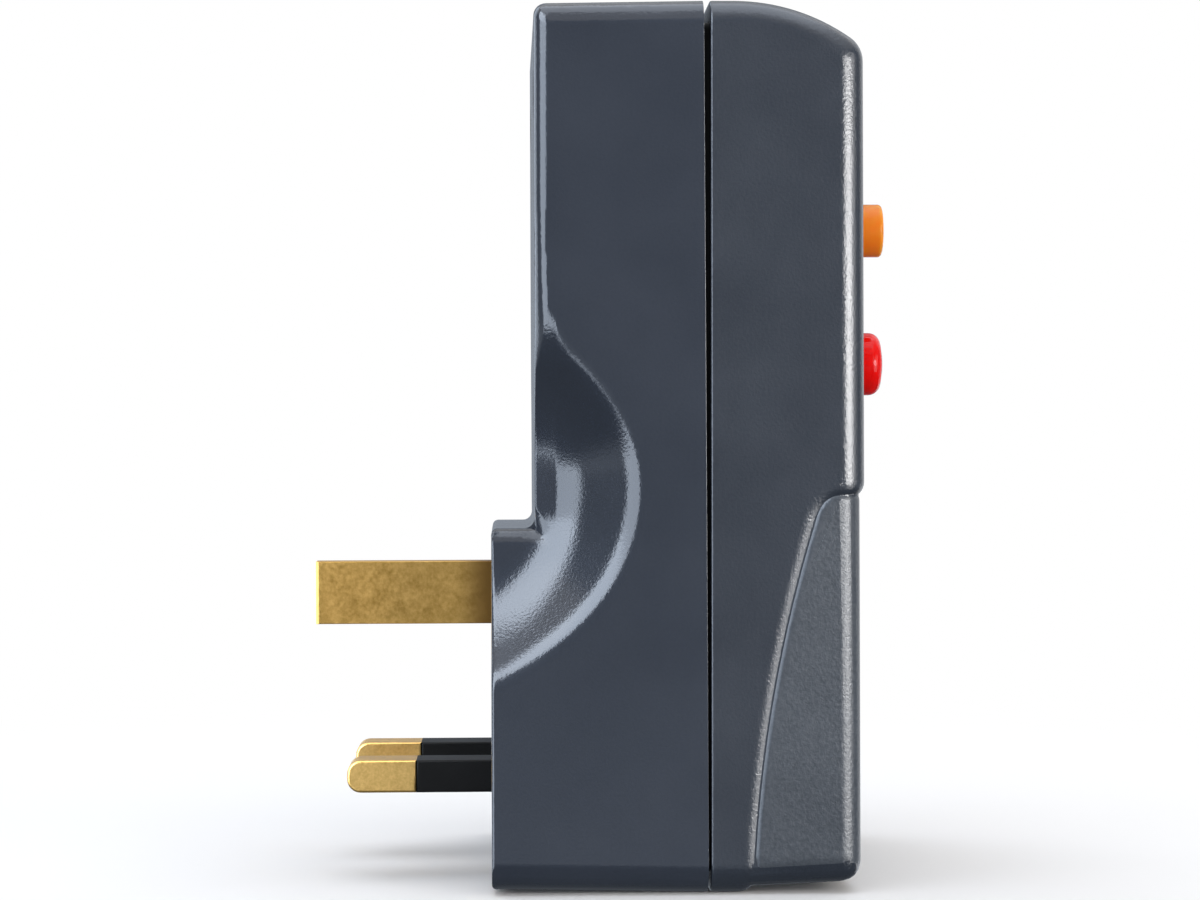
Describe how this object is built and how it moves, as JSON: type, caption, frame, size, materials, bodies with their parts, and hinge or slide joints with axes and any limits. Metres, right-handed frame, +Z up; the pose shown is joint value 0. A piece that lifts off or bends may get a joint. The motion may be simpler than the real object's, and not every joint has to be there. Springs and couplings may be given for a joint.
{
  "type": "residual current adapter plug",
  "caption": "Plug-through residual-current safety adapter: dark moulded casing with finger grips, rectangular brass pins behind, shuttered socket in front, sprung test and reset buttons.",
  "frame": {"origin": "on the plug face, midway between the earth pin's axis and the line of the power pins", "axes": "+Z up, +Y along the plug pins into the wall outlet, -Y out of the front, X across the width"},
  "size_m": [0.06, 0.0729, 0.107],
  "materials": {
    "casing": "satin moulded plastic with a fine spark texture",
    "pin_sleeve": "black moulded plastic",
    "brass": "drawn and stamped brass, slightly mottled",
    "steel": "plated steel",
    "copper": "bare copper",
    "white_moulding": "white moulded plastic",
    "reset_red": "polished moulded plastic",
    "test_orange": "polished moulded plastic",
    "board": "laminate with solder resist",
    "black_component": "moulded epoxy",
    "film_capacitor": "moulded box",
    "varistor": "dipped epoxy",
    "resistor": "cement coated"
  },
  "bodies": {
    "casing": {"rear_casing": "casing", "front_cover": "casing", "live_pin_sleeve": "pin_sleeve", "neutral_pin_sleeve": "pin_sleeve", "earth_pin": "brass", "live_pin": "brass", "neutral_pin": "brass", "earth_strap": "brass", "live_socket_contact": "brass", "neutral_socket_contact": "brass", "earth_socket_contact": "brass", "test_blade": "brass", "test_stud": "brass", "live_fixed_contact": "brass", "neutral_fixed_contact": "brass", "casing_screws": "steel", "pin_retainer_screws": "steel", "socket_carrier_screws": "steel", "circuit_board_screws": "steel", "shutter_spring": "steel", "reset_spring": "steel", "opening_springs": "steel", "coil_core": "steel", "coil_winding": "copper", "live_supply_bar": "copper", "neutral_supply_bar": "copper", "live_braid": "copper", "neutral_braid": "copper", "live_load_bar": "copper", "neutral_load_bar": "copper", "pin_retainer": "white_moulding", "socket_carrier": "white_moulding", "mechanism_frame": "white_moulding", "coil_bobbin": "white_moulding", "circuit_board": "board", "current_transformer": "black_component", "control_chip": "black_component", "smoothing_capacitor": "black_component", "thyristor": "black_component", "rectifier_diodes": "black_component", "film_capacitor": "film_capacitor", "varistor": "varistor", "power_resistors": "resistor"},
    "reset_button": {"reset_button": "reset_red"},
    "contact_bridge": {"contact_carrier": "white_moulding", "armature": "steel", "live_moving_contact": "brass", "neutral_moving_contact": "brass"},
    "test_button": {"test_button": "test_orange"},
    "shutter": {"shutter": "white_moulding"}
  },
  "joints": [
    {"name": "reset_press", "type": "slide", "parent": "casing", "child": "reset_button", "axis": [0, 1, 0], "range_m": [0, 0.003], "stiffness_N_per_m": 150, "springref_m": -0.004, "deforming": ["reset_spring"]},
    {"name": "contact_slide", "type": "slide", "parent": "casing", "child": "contact_bridge", "axis": [0, 1, 0], "range_m": [0, 0.003], "stiffness_N_per_m": 100, "springref_m": -0.004, "deforming": ["opening_springs", "live_braid", "neutral_braid"]},
    {"name": "test_press", "type": "slide", "parent": "casing", "child": "test_button", "axis": [0, 1, 0], "range_m": [0, 0.002], "stiffness_N_per_m": 150, "springref_m": -0.003, "deforming": ["test_blade"]},
    {"name": "shutter_slide", "type": "slide", "parent": "casing", "child": "shutter", "axis": [0, 0, -1], "range_m": [0, 0.006], "stiffness_N_per_m": 60, "springref_m": -0.005, "deforming": ["shutter_spring"]}
  ],
  "couplings": [
    {"joint": "contact_slide", "follows": "reset_press", "ratio": 1}
  ]
}
